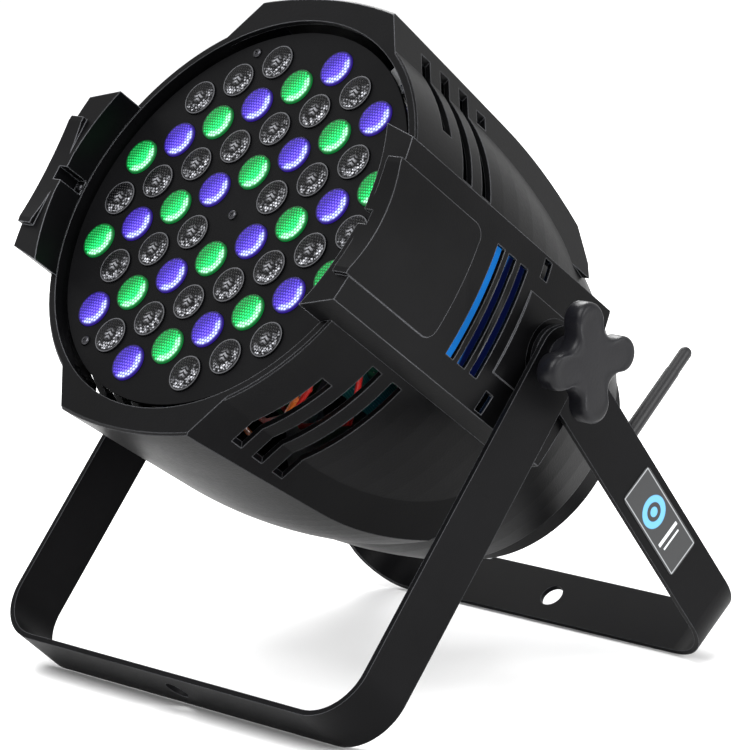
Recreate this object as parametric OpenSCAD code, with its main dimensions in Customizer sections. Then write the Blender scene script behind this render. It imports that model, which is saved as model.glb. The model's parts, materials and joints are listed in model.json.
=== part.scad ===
// LED par can light on a double floor yoke.
//
// The lamp head is drawn in its own optical frame: x is the tilt axis, y is
// up across the lens face and z is the beam, with z = 0 at the lens face.
// head() turns that frame to the working tilt and lifts it onto the yokes.
// The yokes hang straight down from the tilt axis and are swung apart.

/* [Aim] */
// Angle of the beam above the horizontal
beam_tilt = 36; // [30:1:45]
// Angle of the front yoke from straight down, towards the beam
front_swing = 39.8; // [36:0.2:42]

/* [Lens face] */
// Distance between neighbouring lenses
led_pitch = 26; // [25:0.25:26]
// Radius of one lens
lens_r = 10.2; // [9:0.1:10.4]
// Radius of the plate that the lenses look through
face_r = 111; // [110:0.5:112]

/* [Body] */
// Radius of the round body at the front
body_r = 120.5; // [119:0.5:122]
// Length of the body behind the lens face
body_len = 240; // [230:1:250]
// Radius of the arc that draws the back of the body in
body_arc_r = 445; // [430:5:470]
// Length of the straight part behind the lens face
body_straight = 60; // [55:1:65]
// Thickness of the cast wall
wall = 3.5; // [3:0.5:4.5]

/* [Lugs and side covers] */
// Height of the flat edge of a lug over the beam axis
lug_h = 124.7; // [123:0.1:127]
// Half of the width of a lug's outer face
lug_half = 49; // [46:0.5:52]
// Rise of the lug faces and cover faces at their middle
crown = 5.1; // [4:0.1:6]
// Half of the width of a side cover's outer face
cover_half = 46.5; // [45:0.5:48]
// Length of the hood in front of the lens face
hood = 21; // [18:1:24]
// Length of a side cover behind the lens face
cover_len = 158; // [155:1:165]

/* [Yokes] */
// Distance from the lens face back to the tilt axis
face_to_pivot = 127; // [122:1:130]
// Height of the tilt axis over the beam axis
pivot_rise = 3; // [0:0.5:4]
// Width of the flat steel strip
strip_w = 34; // [30:1:38]
// Thickness of the flat steel strip
strip_t = 3; // [2.5:0.25:3]
// Reach of the front yoke from the tilt axis to the outside of its bar
front_reach = 228; // [224:1:232]
// Half of the outer width of the front yoke
front_half = 138; // [138:0.5:140]
// Outer radius of the bends
bend_r = 30; // [24:1:34]
// Diameter of the clamp bolt hole in each bar
clamp_hole_d = 14; // [10.5:0.5:15]

/* [Clamp knobs] */
// Radius over the lobes of a knob
knob_r = 32; // [28:1:34]
// Thickness of the lobed part of a knob
knob_t = 12; // [10:1:14]
// Diameter of the clamp stud
stud_d = 8; // [8:1:10]

/* [Hidden] */
$fn = 64;
e = 0.01;

rear_gap = 0.5;                                  // play between nested yokes
rear_half = front_half - strip_t - rear_gap;     // outer half width, rear yoke
rear_reach = front_reach - strip_t - 0.8;        // reach of the rear yoke
pivot_z = front_reach * cos(front_swing) + strip_w / 2 * sin(front_swing);
rear_diag = sqrt(rear_reach * rear_reach + strip_w * strip_w / 4);
rear_swing = acos(pivot_z / rear_diag) + atan2(strip_w / 2, rear_reach);
pivot_hole_r = stud_d / 2 + 0.08;
pad_x = rear_half - strip_t - 2;                 // outer face of a pivot pad

rim_z = 3;                                       // front edge of the body
body_in_r = body_r - 5;                          // bore of the front rim
chamfer_x = 62.8;                                // foot of a lug's chamfer
chamfer_y = 103.4;
cover_foot = 50.6;                               // half width where a cover meets the body
cover_foot_x = 109.4;
cover_x = 124.8;                                 // edge of a cover's outer face
crown_r = (lug_half * lug_half + crown * crown) / (2 * crown);
cover_wall = 2.6;
post_x = 112;                                    // inner end of a cover's pivot post
cover_screw_x = 117.9;
panel_half = 33;
panel_back = -47;
vent_z = [-64, -74, -84.5];
slot_z = [-25, -42, -59];
slot_w = 8;
slot_end = 64.2;
cap_r = 71;
cap_front = -body_len - 10;
cap_back = cap_front - 12;
cap_plate = 3;
post_r = 61;
plate_back = -4.5;
plate_front = -2;
board_front = -11.5;
board_back = -13.1;
button_x = [-21, -7, 7, 21];
button_y = 30;
button_r = 4;
display_y = 50;
mains_y = 2;
signal_y = -36;
socket_x = 17;
fuse_at = [-50, 4];
eye_at = [0, -61];
antenna_at = [63, 8];
antenna_z = cap_back - 10;
antenna_lean = 13;
antenna_len = 82;
fan_z = -69;
latch_at = [socket_x, signal_y + 9.9];

black = "#17181b";
satin_black = "#1d1e22";
dark_steel = "#2a2b2f";

// ---------------------------------------------------------------- frames

module head() {
  translate([0, 0, pivot_z])
    rotate([90 - beam_tilt, 0, 0])
      translate([0, -pivot_rise, face_to_pivot])
        children();
}

module front_side() {
  translate([0, 0, pivot_z]) rotate([-front_swing, 0, 0]) children();
}

module rear_side() {
  translate([0, 0, pivot_z]) rotate([rear_swing, 0, 0]) children();
}

// along +x from x0 to x1
module bar_x(r, x0, x1) {
  translate([x0, 0, 0]) rotate([0, 90, 0]) cylinder(r = r, h = x1 - x0);
}

// at the tilt axis, seen from the optical frame
module at_pivot() {
  translate([0, pivot_rise, -face_to_pivot]) children();
}

function ring(r, n, a0 = 0) = [for (i = [0:n - 1]) [r * cos(a0 + i * 360 / n), r * sin(a0 + i * 360 / n)]];

// ---------------------------------------------------------------- yokes

module yoke(half, reach) {
  difference() {
    union() {
      for (s = [-1, 1]) {
        translate([s > 0 ? half - strip_t : -half, -strip_w / 2, -reach + bend_r])
          cube([strip_t, strip_w, reach - bend_r]);
        bar_x(strip_w / 2, s > 0 ? half - strip_t : -half, s > 0 ? half : -half + strip_t);
        translate([s * (half - bend_r), 0, -reach + bend_r])
          rotate([90, 0, 0])
            rotate([0, 0, s > 0 ? -90 : 180])
              rotate_extrude(angle = 90)
                translate([bend_r - strip_t, -strip_w / 2]) square([strip_t, strip_w]);
      }
      translate([-half + bend_r, -strip_w / 2, -reach])
        cube([2 * (half - bend_r), strip_w, strip_t]);
    }
    bar_x(pivot_hole_r, -half - 1, half + 1);
    translate([0, 0, -reach - 1]) cylinder(d = clamp_hole_d, h = strip_t + 2);
  }
}

module front_yoke() {
  color(black) front_side() yoke(front_half, front_reach);
}

module rear_yoke() {
  color(black) rear_side() yoke(rear_half, rear_reach);
}

module yoke_label() {
  color("#22262e")
    rear_side()
      translate([rear_half, -12, -158]) cube([0.3, 25, 62]);
}

// ---------------------------------------------------------------- clamp knobs

knob_neck = 17.3;
hub_x = front_half + 1.5;
knob_x = hub_x + 9.5;
lobe_r = 9.4;

module knob_outline() {
  notch_c = 29.2;
  difference() {
    union() {
      circle(r = knob_r - 7.5);
      for (i = [0:3]) rotate(45 + 90 * i) translate([knob_r - lobe_r, 0]) circle(r = lobe_r);
      for (i = [0:3]) rotate(45 + 90 * i) translate([0, -lobe_r]) square([knob_r - lobe_r, 2 * lobe_r]);
    }
    for (i = [0:3]) rotate(90 * i) translate([notch_c, 0]) circle(r = notch_c - knob_neck);
  }
}

module knob() {
  difference() {
    union() {
      translate([knob_x, 0, 0]) rotate([90, 0, 90]) linear_extrude(knob_t) knob_outline();
      bar_x(12.5, hub_x, knob_x + e);
    }
    bar_x(stud_d / 2 - 0.01, hub_x - 1, knob_x + knob_t - 3);
  }
}

module stud() {
  bar_x(stud_d / 2 - 0.01, pad_x - 16, knob_x + knob_t - 3);
}

module washer() {
  difference() {
    bar_x(11, front_half, hub_x);
    bar_x(pivot_hole_r, front_half - 1, hub_x + 1);
  }
}

module to_side(s) {
  translate([0, 0, pivot_z]) rotate([-front_swing, 0, 0]) mirror([s < 0 ? 1 : 0, 0, 0]) children();
}

module knob_right() { color(satin_black) to_side(1) knob(); }
module knob_left() { color(satin_black) to_side(-1) knob(); }
module stud_right() { color("silver") to_side(1) stud(); }
module stud_left() { color("silver") to_side(-1) stud(); }
module washer_right() { color("silver") to_side(1) washer(); }
module washer_left() { color("silver") to_side(-1) washer(); }

module spacer_rings() {
  color("#34363c")
    for (s = [-1, 1]) to_side(s)
      difference() {
        bar_x(14, rear_half, rear_half + rear_gap);
        bar_x(pivot_hole_r, rear_half - 1, rear_half + 2);
      }
}

module rubber_rings() {
  color("#0c0c0e")
    head() at_pivot()
      for (s = [-1, 1]) mirror([s < 0 ? 1 : 0, 0, 0])
        difference() {
          bar_x(15, pad_x, rear_half - strip_t);
          bar_x(pivot_hole_r + 0.4, pad_x - 1, rear_half + 1);
        }
}

module pivot_insert() {
  difference() {
    union() {
      bar_x(7, post_x - 2.5, pad_x);
      bar_x(9, post_x - 2.5, post_x);
    }
    bar_x(pivot_hole_r, post_x - 0.8, pad_x + 1);
  }
}

module insert_right() { color("#b08d3c") head() at_pivot() pivot_insert(); }
module insert_left() { color("#b08d3c") head() at_pivot() mirror([1, 0, 0]) pivot_insert(); }

// ---------------------------------------------------------------- body casting

body_steps = 12;
function body_r_at(z) =
  z > -body_straight ? body_r
  : body_r - (body_arc_r - sqrt(body_arc_r * body_arc_r - (z + body_straight) * (z + body_straight)));
function arc_z(i) = -body_straight - (body_len - body_straight) * i / body_steps;
body_curve = [for (i = [0:body_steps]) [body_r_at(arc_z(i)), arc_z(i)]];

module bell_outer() {
  rotate_extrude($fn = 128)
    polygon(concat([[0, -body_len], [0, rim_z], [body_r - 1, rim_z], [body_r, rim_z - 1]], body_curve));
}

module bell_inner() {
  inner = [for (p = body_curve) [p[0] - wall, p[1]]];
  rotate_extrude($fn = 128)
    polygon(concat(
      [[0, -body_len + 3], [0, rim_z + 1], [body_in_r, rim_z + 1], [body_in_r, -8], [body_r - wall, -8]],
      [for (i = [0:body_steps - 1]) inner[i]],
      [[body_r_at(-body_len + 3) - wall, -body_len + 3]]));
  translate([0, 0, -body_len - 1]) cylinder(r = 56, h = 6);
}

// outer height of a lug's flat edge along its length
lug_steps = 8;
lug_back = -174;
lug_turn = -100;
lug_arc_r = 200;
lug_taper = 0.068;
function lug_at(z) = lug_h + lug_taper * min(0, z)
  - (z > lug_turn ? 0 : lug_arc_r - sqrt(lug_arc_r * lug_arc_r - (z - lug_turn) * (z - lug_turn)));
function lug_zi(i) = lug_turn + (lug_back + 8 - lug_turn) * i / lug_steps;

// a lug's section between its flat edges, grown by g
module lug_section(g, top) {
  k = (chamfer_x - lug_half) / (chamfer_y - lug_h);
  polygon([
    [-(lug_half + k * (top - lug_h)) - g, top], [lug_half + k * (top - lug_h) + g, top],
    [lug_half + k * (70 - lug_h) + g, 70], [-(lug_half + k * (70 - lug_h)) - g, 70]
  ]);
}

// inset t moves every face of the lug inwards
module lug(t) {
  y0 = lug_h + crown - crown_r;
  intersection() {
    translate([0, 0, lug_back]) linear_extrude(-lug_back + rim_z - t) lug_section(-t * 1.2, lug_h + crown + 2);
    translate([0, y0, 0])
      rotate_extrude($fn = 128)
        polygon(concat(
          [[0, lug_back + t], [0, rim_z - t], [crown_r - 1.2 - t, rim_z - t], [crown_r - t, rim_z - 1.2 - t],
           [lug_at(-8) - lug_h + crown_r - t, -8], [lug_at(lug_turn) - lug_h + crown_r - t, lug_turn]],
          [for (i = [1:lug_steps]) [lug_at(lug_zi(i)) - lug_h + crown_r - t, lug_zi(i)]],
          [[lug_at(lug_back) - lug_h + crown_r - 9 - t, lug_back + t]]));
  }
}

// a ring sector that cuts one air slot, between two angles
module air_slot(z, a0, a1) {
  translate([0, 0, z - slot_w / 2])
    rotate([0, 0, a0])
      rotate_extrude(angle = a1 - a0, $fn = 128)
        translate([body_r - 14, 0]) square([30, slot_w]);
}

module air_slots() {
  for (m = [0, 1], n = [0, 1])
    mirror([m, 0, 0]) mirror([0, n, 0]) {
      air_slot(slot_z[0], 37, slot_end);
      air_slot(slot_z[1], 27, slot_end);
      air_slot(slot_z[2], 27, slot_end);
      if (n == 0) air_slot(slot_z[2] - 16, 58.8, 62.6);
    }
}

module pivot_window(s) {
  translate([s > 0 ? 96 : -126, -42, -112]) cube([30, 84, 62]);
}

module housing() {
  color(black) head()
    difference() {
      union() {
        bell_outer();
        lug(0);
        mirror([0, 1, 0]) lug(0);
      }
      bell_inner();
      lug(wall);
      mirror([0, 1, 0]) lug(wall);
      air_slots();
      for (s = [-1, 1]) {
        pivot_window(s);
        at_pivot() mirror([s < 0 ? 1 : 0, 0, 0]) bar_x(13, 80, 130);
        translate([s * cover_screw_x, 0, -10]) cylinder(r = 1.6, h = 14);
      }
      for (p = ring(post_r, 4, 45)) translate([p[0], p[1], -body_len - 1]) cylinder(r = 1.9, h = 6);
    }
}

// ---------------------------------------------------------------- side covers

// section of a side cover across the beam, inset by t, crowned by a
module cover_section(t, a) {
  cover_r = (cover_half * cover_half + a * a) / (2 * a);
  slope = (cover_foot - cover_half) / (cover_x - cover_foot_x);
  intersection() {
    translate([cover_x + a - cover_r, 0]) circle(r = cover_r - t, $fn = 256);
    polygon([
      [cover_foot_x - 30, -cover_foot - 30 * slope + t], [cover_x + a + 4, -cover_half + (a + 4) * slope + t],
      [cover_x + a + 4, cover_half - (a + 4) * slope - t], [cover_foot_x - 30, cover_foot + 30 * slope - t]
    ]);
  }
}

// a block seen along the tilt axis, with rounded corners at its back
module side_block(half, back, front, r, x0, x1) {
  translate([x0, 0, 0]) {
    translate([0, -half, back + r]) cube([x1 - x0, 2 * half, front - back - r]);
    translate([0, -half + r, back]) cube([x1 - x0, 2 * half - 2 * r, r + e]);
    for (s = [-1, 1]) translate([0, s * (half - r), back + r]) rotate([0, 90, 0]) cylinder(r = r, h = x1 - x0);
  }
}

module vent(z, y0, y1, w) {
  translate([95, y0, z - w / 2]) cube([45, y1 - y0, w]);
}

module cover_shell() {
  difference() {
    union() {
      intersection() {
        translate([0, 0, -cover_len]) linear_extrude(cover_len + hood) cover_section(0, crown);
        side_block(60, -cover_len, hood + 1, 16, 90, 140);
      }
      // raised front panel and the pad round the pivot
      intersection() {
        translate([0, 0, -cover_len]) linear_extrude(cover_len + hood + 3) cover_section(0, crown + 1.1);
        union() {
          side_block(panel_half, panel_back, hood + 3, 7, 118, 140);
          side_block(24, -146, -95, 10, 118, 140);
        }
      }
      at_pivot() bar_x(19, 110, pad_x + 0.5);
    }
    // flat seat of the rubber ring, hollow front edge of the hood
    at_pivot() bar_x(19.5, pad_x, 145);
    translate([98, 0, hood + 129.5]) rotate([0, 90, 0]) cylinder(r = 130, h = 50, $fn = 256);
    // space over the body, bore of the hood, access to the cover screw
    translate([0, 0, -cover_len - 1]) cylinder(r = body_r + 0.2, h = cover_len + 1 + rim_z + 0.2, $fn = 128);
    difference() {
      translate([0, 0, -cover_len + cover_wall]) linear_extrude(cover_len - cover_wall - 0.5) cover_section(cover_wall, crown);
      at_pivot() bar_x(11.5, 100, 140);
      side_block(90, -cover_len - 30, -cover_len + cover_wall + 3, 1, 90, 140);
    }
    translate([0, 0, rim_z - 1]) cylinder(r = body_in_r, h = hood + 8, $fn = 128);
    translate([cover_screw_x - 12, -4, rim_z + 1.5]) cube([15.6, 8, hood + 8]);
    for (z = vent_z) vent(z, -32, 32, 6.4);
    for (s = [-1, 1]) translate([0, s * 39, 0]) vent(-101, -5.5, 5.5, 6);
  }
}

module side_cover() {
  difference() {
    union() {
      cover_shell();
      at_pivot() bar_x(11.5, post_x, pad_x);
    }
    at_pivot() bar_x(7.05, post_x - 1, 140);
    translate([cover_screw_x, 0, rim_z - 1]) cylinder(r = 1.6, h = 5);
  }
}

module side_cover_right() { color(satin_black) head() side_cover(); }
module side_cover_left() { color(satin_black) head() mirror([1, 0, 0]) side_cover(); }

module screw(d, head_d, len) {
  cylinder(d = head_d, h = 1.6);
  translate([0, 0, -len]) cylinder(d = d, h = len + e);
}

module cover_screws() {
  color("silver") head() for (s = [-1, 1]) translate([s * cover_screw_x, 0, rim_z + 1.5]) screw(3, 5.2, 11);
}

// ---------------------------------------------------------------- lens face

// the 54 lens places: a hexagon of side 5 without its corners and its centre
function hex_xy(q, r) = [led_pitch * (q + r / 2), led_pitch * r * sin(60)];
function turned(p) = [p[0] * cos(30) - p[1] * sin(30), p[0] * sin(30) + p[1] * cos(30)];
led_cells = [for (r = [-4:4], q = [-4:4])
  if (abs(q + r) <= 4 && !(q == 0 && r == 0) && norm(hex_xy(q, r)) < 3.8 * led_pitch) [q, r]];
// colour by row: every second row is clear, the others alternate
function led_kind(c) = c[1] % 2 == 0 ? 0
  : (floor(c[0] + (c[1] + 7) / 2) + ((c[1] == 3 || c[1] == -1) ? 1 : 0)) % 2 == 0 ? 1 : 2;
function led_places(kind) = [for (c = led_cells) if (led_kind(c) == kind) turned(hex_xy(c[0], c[1]))];
all_places = [for (c = led_cells) turned(hex_xy(c[0], c[1]))];
plate_screw_at = ring(4 * led_pitch, 3, 113.5);

module lens_plate() {
  color("#0b0b0d") head()
    difference() {
      translate([0, 0, plate_back]) cylinder(r = face_r, h = plate_front - plate_back, $fn = 128);
      for (p = all_places) translate([p[0], p[1], plate_back - 1]) cylinder(r = lens_r + 0.15, h = 5, $fn = 48);
      for (p = plate_screw_at) translate([p[0], p[1], plate_back - 1]) cylinder(r = 1.6, h = 5);
      translate([0, 0, plate_back - 1]) cylinder(r = 1.6, h = 5);
    }
}

module plate_screws() {
  color("silver") head() {
    for (p = plate_screw_at) translate([p[0], p[1], plate_front]) screw(3, 5.6, 20);
    translate([0, 0, plate_front]) screw(3, 5.6, 20);
  }
}

// a lens stands on the board over its chip, with a flange behind the plate
module lens() {
  rotate_extrude($fn = 48)
    polygon(concat(
      [[0, board_front + 2], [3.2, board_front + 2], [3.2, board_front], [5, board_front],
       [11, plate_back - 1.5], [11, plate_back], [lens_r, plate_back], [lens_r, -0.9]],
      [for (i = [1:4]) [lens_r * cos(i * 22.5), -0.9 + 1.1 * sin(i * 22.5)]]));
}

module lens_group(kind) {
  for (p = led_places(kind)) translate([p[0], p[1], 0]) lens();
}

module lenses_clear() { color("#c9ced4") head() lens_group(0); }
module lenses_green() { color("#12e06c") head() lens_group(1); }
module lenses_blue() { color("#5a55ff") head() lens_group(2); }

module led_board() {
  color("#e8e8e4") head()
    difference() {
      translate([0, 0, board_back]) cylinder(r = 108, h = board_front - board_back, $fn = 128);
      for (p = plate_screw_at) translate([p[0], p[1], board_back - 1]) cylinder(r = 1.7, h = 4);
      translate([0, 0, board_back - 1]) cylinder(r = 1.7, h = 4);
    }
}

module led_chips() {
  color("#f2d24a") head()
    for (p = all_places) translate([p[0] - 2, p[1] - 2, board_front]) cube([4, 4, 1.4]);
}

// ---------------------------------------------------------------- inside

module heat_sink() {
  color("#a8acb0") head()
    difference() {
      union() {
        translate([0, 0, -18]) cylinder(r = 104, h = 4.9, $fn = 128);
        // three ears that stand on the casting's wall
        intersection() {
          for (a = [60:120:300]) rotate([0, 0, a]) translate([95, -7, -18]) cube([30, 14, 4.9]);
          translate([0, 0, -19]) cylinder(r = body_r - wall, h = 8, $fn = 128);
        }
        intersection() {
          for (i = [-7:7]) translate([-100, i * 12 - 1, -44]) cube([200, 2, 26.5]);
          translate([0, 0, -45]) cylinder(r = 92, h = 28);
        }
      }
      for (p = plate_screw_at) translate([p[0], p[1], -30]) cylinder(r = 1.5, h = 20);
      translate([0, 0, -30]) cylinder(r = 1.5, h = 20);
    }
}

module fan_frame() {
  color("#202124") head() translate([0, 0, fan_z])
    difference() {
      union() {
        difference() {
          translate([-46, -46, 0]) cube([92, 92, 25]);
          translate([0, 0, -1]) cylinder(r = 43.5, h = 27);
        }
        for (a = [0:120:240]) rotate([0, 0, a + 30]) translate([0, -2, 0]) cube([44.5, 4, 2.5]);
        cylinder(r = 19, h = 2.5);
        cylinder(r = 3.5, h = 8);
      }
      translate([0, 0, 1]) cylinder(r = 1.55, h = 9);
      for (x = [-41.25, 41.25], y = [-41.25, 41.25]) translate([x, y, -1]) cylinder(r = 2.15, h = 27);
    }
}

module fan_rotor() {
  color("#2b2c30") head() translate([0, 0, fan_z]) {
    difference() {
      translate([0, 0, 4]) cylinder(r = 18, h = 19);
      translate([0, 0, 3.9]) cylinder(r = 15.5, h = 16);
    }
    translate([0, 0, 1.4]) cylinder(r = 1.5, h = 19);
    for (i = [0:6])
      rotate([0, 0, i * 360 / 7]) intersection() {
        translate([16.5, -1, 12.5]) rotate([38, 0, 0]) translate([0, -11, -0.8]) cube([26, 22, 1.6]);
        difference() {
          translate([0, 0, 4.5]) cylinder(r = 42.4, h = 18);
          translate([0, 0, 4]) cylinder(r = 17.2, h = 20);
        }
      }
  }
}

module power_supply() {
  color("#3c6b3f") head() {
    translate([34, -52, -165]) cube([1.6, 104, 82]);
    color("#22252b") translate([35.6, -30, -150]) cube([24, 34, 34]);
    color("#b8bcc0") for (y = [12, 32]) translate([35.6, y, -130]) rotate([0, 90, 0]) cylinder(r = 8, h = 26);
    color("#c9a13a") translate([35.6, -26, -106]) rotate([0, 90, 0]) cylinder(r = 9, h = 12);
  }
}

module insulation_sheet() {
  color("#1c6fd6") head() {
    translate([78, -38, -168]) cube([1, 90, 112]);
    for (y = [-39, 52]) translate([35.6, y, -168]) cube([43.4, 1, 26]);
  }
}

module driver_board() {
  color("#1f5a34") head() {
    translate([-70, -48, -170]) cube([1.6, 96, 84]);
    color("#22252b") for (y = [-36, -12, 12]) translate([-68.4, y, -120]) cube([9, 16, 16]);
    color("#22252b") for (y = [-30, 20]) translate([-68.4, y, -158]) cube([12, 12, 18]);
  }
}

module wire(points, r) {
  for (i = [0:len(points) - 2]) {
    v = points[i + 1] - points[i];
    translate(points[i])
      rotate([0, acos(v[2] / norm(v)), atan2(v[1], v[0])])
        cylinder(r = r, h = norm(v), $fn = 20);
    if (i > 0) translate(points[i]) sphere(r = r * 1.08, $fn = 20);
  }
}

// wires from the LED board round the heat sink to the driver board
module wires_red() {
  color("#d2202c") head() {
    wire([[86, -62, -20], [72, -73, -38], [52, -84, -52], [20, -84, -68], [-30, -70, -95], [-66, -47, -110]], 1.6);
    wire([[97, -45, -22], [92, -50, -44], [80, -62, -62], [60, -70, -84], [0, -68, -110], [-66, -42, -130]], 1.6);
    wire([[54, 16, -186], [52, 12, -215], [49, 10, -237], [51, 9, -247], [59.4, 8.4, -252]], 1.6);
  }
}

module wires_orange() {
  color("#e8742a") head() {
    wire([[80, -70, -20], [66, -80, -38], [44, -90, -56], [10, -92, -72], [-32, -76, -86], [-66, -50, -98]], 1.6);
    wire([[46, 28, -186], [44, 26, -215], [40, 28, -238], [33, 32, -245], [22, 38, -249.6]], 1.6);
  }
}

module chassis_plate() {
  color("#8f9397") head()
    difference() {
      union() {
        translate([0, 0, -182]) cylinder(r = 99.6, h = 2, $fn = 96);
        for (x = [30, -74]) translate([x, -40, -180]) cube([4, 80, 30]);
        for (p = ring(post_r, 4, 45)) translate([p[0], p[1], -body_len + 3]) cylinder(r = 4, h = 56);
      }
      translate([0, 0, -183]) cylinder(r = 22, h = 4);
      for (a = [0:45:315]) rotate([0, 0, a + 22.5]) translate([66, 0, -183]) cylinder(r = 10, h = 4);
    }
}

// ---------------------------------------------------------------- rear cap

module rear_posts() {
  color("#b9bdc2") head()
    for (p = ring(post_r, 4, 45)) translate([p[0], p[1], cap_front])
      difference() {
        cylinder(r = 5, h = 10);
        translate([0, 0, -1]) cylinder(r = 1.55, h = 12);
      }
}

module socket_hole(x, y) {
  translate([x, y, cap_back - 1]) cylinder(r = 12, h = 20);
}

module rear_cap() {
  color(black) head()
    difference() {
      union() {
        translate([0, 0, cap_back]) cylinder(r = cap_r - 1, h = 1, $fn = 128);
        translate([0, 0, cap_back + 1]) cylinder(r = cap_r, h = cap_front - cap_back - 1, $fn = 128);
      }
      difference() {
        translate([0, 0, cap_back + cap_plate]) cylinder(r = cap_r - 3, h = 12, $fn = 128);
        for (p = ring(post_r, 4, 45)) translate([p[0], p[1], cap_back]) cylinder(r = 5, h = 12);
      }
      for (p = ring(post_r, 4, 45)) translate([p[0], p[1], cap_back - 1]) cylinder(r = 1.7, h = 16);
      for (s = [-1, 1]) {
        socket_hole(s * socket_x, mains_y);
        socket_hole(s * socket_x, signal_y);
      }
      for (x = button_x) translate([x, button_y, cap_back - 1]) cylinder(r = button_r + 0.08, h = 10);
      translate([-22, display_y - 8, cap_back - 1]) cube([44, 16, 10]);
      translate([fuse_at[0], fuse_at[1], cap_back - 1]) cylinder(r = 8.1, h = 10);
      translate([antenna_at[0], antenna_at[1], cap_back - 1]) cylinder(r = 3.3, h = 10);
      translate([eye_at[0], eye_at[1], cap_back - 1]) cylinder(r = 2.6, h = 10);
    }
}

module cap_screws() {
  color("silver") head()
    for (p = ring(post_r, 4, 45)) translate([p[0], p[1], cap_back]) rotate([180, 0, 0]) screw(3, 5.6, 20);
}

module display_board() {
  color("#1f5a34") head() {
    translate([-26, button_y - 7, cap_back + 9]) cube([52, 36, 1.6]);
    color("#22252b") for (x = button_x) translate([x - 2.5, button_y - 2.5, cap_back + 6.6]) cube([5, 5, 2.4]);
    color("#101114") translate([-25, display_y - 9.5, cap_back + 3]) cube([50, 19, 6]);
  }
}

module display_window() {
  color("#2a0d10") head() translate([-22, display_y - 8, cap_back + 0.4]) cube([44, 16, 2.4]);
}

module button(i) {
  color("#3b3d42") head() translate([button_x[i], button_y, 0]) {
    translate([0, 0, cap_back - 1.6]) cylinder(r = button_r, h = 6.9);
    translate([0, 0, cap_back + 3.4]) cylinder(r = button_r + 1, h = 1.2);
  }
}

module button_menu() { button(0); }
module button_up() { button(1); }
module button_down() { button(2); }
module button_enter() { button(3); }

// chassis connector: a square flange on the cap and a round shell through it
module socket_shell(x, y, bore_r, depth) {
  translate([x, y, 0]) difference() {
    union() {
      translate([-13, -15.5, cap_back - 1.8]) cube([26, 31, 1.8]);
      translate([0, 0, cap_back - 3.2]) cylinder(r = 11.8, h = 3.2 + 26);
    }
    translate([0, 0, cap_back - 4]) cylinder(r = bore_r, h = depth);
    for (s = [-1, 1]) translate([s * 9.5, s * 12, cap_back - 3]) cylinder(r = 1.6, h = 5);
  }
}

module mains_core(x, y) {
  translate([x, y, cap_back - 1]) {
    difference() {
      cylinder(r = 6, h = 16.5);
      for (a = [0:120:240]) rotate([0, 0, a]) translate([3.4, 0, -1]) cube([2.6, 1.4, 8], center = true);
    }
  }
}

module mains_inlet() {
  color("#20489a") head() {
    socket_shell(-socket_x, mains_y, 10, 18);
    mains_core(-socket_x, mains_y);
  }
}

module mains_outlet() {
  color("#9da1a6") head() {
    socket_shell(socket_x, mains_y, 10, 18);
    mains_core(socket_x, mains_y);
  }
}

module pins3(x, y, r, len) {
  for (a = [90, 210, 330]) rotate([0, 0, 0]) translate([x + 4.6 * cos(a), y + 4.6 * sin(a), cap_back])
    cylinder(r = r, h = len, $fn = 24);
}

module signal_inlet() {
  color("#2c2d31") head() {
    socket_shell(-socket_x, signal_y, 9.4, 16);
    color("#c8a24a") pins3(-socket_x, signal_y, 1.2, 14);
  }
}

module signal_outlet() {
  color("#2c2d31") head()
    difference() {
      union() {
        socket_shell(socket_x, signal_y, 9.4, 16);
        translate([socket_x, signal_y, cap_back - 1.5]) cylinder(r = 8, h = 16);
      }
      translate([0, 0, -3]) pins3(socket_x, signal_y, 1.4, 12);
      translate([latch_at[0] - 3.1, latch_at[1] - 2.4, cap_back - 4]) cube([6.2, 3.5, 12]);
    }
}

module latch_tab() {
  color("#c9ccd0") head() translate([latch_at[0], latch_at[1], cap_back - 3]) translate([-3, -2.2, 0]) cube([6, 3.2, 6]);
}

module fuse_holder() {
  color("#17181b") head() translate([fuse_at[0], fuse_at[1], 0])
    difference() {
      union() {
        translate([0, 0, cap_back - 1.6]) cylinder(r = 9.5, h = 1.6);
        translate([0, 0, cap_back - 1.6]) cylinder(r = 8, h = 21);
      }
      translate([0, 0, cap_back - 2]) cylinder(r = 6.1, h = 20);
    }
}

module fuse_cap() {
  color("#26272b") head() translate([fuse_at[0], fuse_at[1], 0])
    difference() {
      union() {
        translate([0, 0, cap_back - 2.5]) cylinder(r = 6.05, h = 16.8);
        translate([0, 0, cap_back - 4.2]) cylinder(r = 7.6, h = 2.4);
      }
      translate([-5, -0.7, cap_back - 5]) cube([10, 1.4, 2]);
    }
}

module safety_eye() {
  color("#c5c8cc") head() translate([eye_at[0], eye_at[1], 0]) {
    translate([0, 0, cap_back - 2]) cylinder(r = 6, h = 2);
    translate([0, 0, cap_back - 2]) cylinder(r = 2.5, h = 7);
    translate([0, 0, cap_back - 9.6]) rotate([90, 0, 0]) rotate_extrude() translate([7, 0]) circle(r = 2);
    translate([0, 0, cap_back - 4]) cylinder(r = 2.4, h = 3);
  }
}

// ---------------------------------------------------------------- antenna

module antenna_stub() {
  color("#1c1d20") head() translate([antenna_at[0], antenna_at[1], 0])
    difference() {
      union() {
        translate([0, 0, cap_back - 5]) cylinder(r = 5.4, h = 4.8);
        translate([0, 0, antenna_z - 2.5]) cylinder(r = 5, h = 9);
        translate([0, 0, antenna_z]) rotate([0, 90, 0]) cylinder(r = 5, h = 10, center = true);
        translate([0, 0, cap_back - 1]) cylinder(r = 3.24, h = 7);
      }
      translate([-2.6, -8, antenna_z - 8]) cube([5.2, 16, 13.7]);
      translate([0, 0, antenna_z]) rotate([0, 90, 0]) cylinder(r = 1.55, h = 12, center = true);
    }
}

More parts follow.
